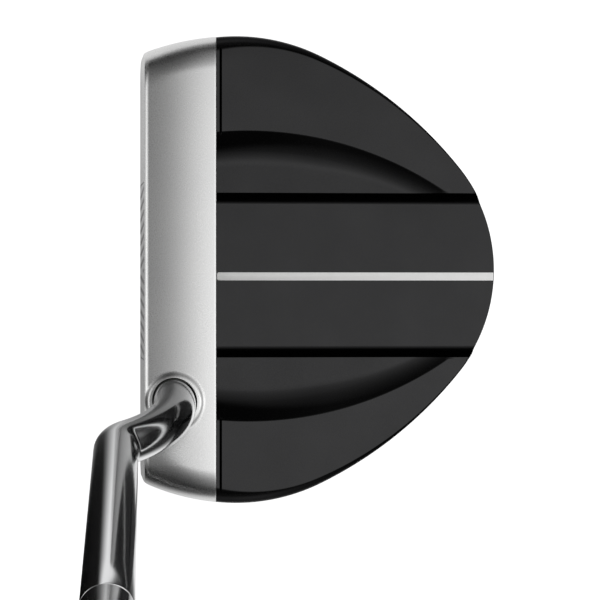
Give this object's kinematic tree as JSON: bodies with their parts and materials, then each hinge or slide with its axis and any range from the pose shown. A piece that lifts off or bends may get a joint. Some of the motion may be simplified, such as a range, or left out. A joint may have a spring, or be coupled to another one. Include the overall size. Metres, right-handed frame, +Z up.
{
  "type": "mallet putter",
  "caption": "Right-handed mallet putter with a steel face block, black half-round rear body, sight line, crank-necked hosel, stepped shaft and flat-front grip.",
  "frame": {"origin": "on the flat of the sole, directly below the sight line, about mid-depth of the head", "axes": "-X towards the target (the face), +X towards the rear, +Y towards the toe, +Z up with the head soled; the shaft leans 20 degrees towards -Y"},
  "size_m": [0.0977, 0.3805, 0.8158],
  "materials": {
    "satin_steel": "satin",
    "milled_steel": "milled",
    "black_anodised": "satin black anodised",
    "plate_anodised": "bead blasted, dark anodised",
    "white_paint": "gloss paint fill",
    "polished_chrome": "polished",
    "weight_steel": "turned",
    "bright_screws": "plain",
    "black_rubber": "matt",
    "black_nylon": "matt",
    "epoxy": "cured epoxy",
    "tape": "crepe paper tape",
    "grip_rubber": "fine dimpled",
    "cap_rubber": "smooth matt"
  },
  "bodies": {
    "root": {"front_block": "satin_steel", "face_insert": "milled_steel", "insert_pad": "black_rubber", "rear_body": "black_anodised", "sight_line": "white_paint", "body_screws": "bright_screws", "dowel_pins": "bright_screws", "sole_plate": "plate_anodised", "plate_gasket": "black_rubber", "plate_screws": "bright_screws", "heel_weight": "weight_steel", "toe_weight": "weight_steel", "weight_washers": "black_nylon", "hosel": "polished_chrome", "hosel_bond": "epoxy", "shaft": "polished_chrome", "shaft_bond": "epoxy", "grip_tape": "tape", "grip": "grip_rubber", "grip_cap": "cap_rubber"}
  },
  "joints": []
}
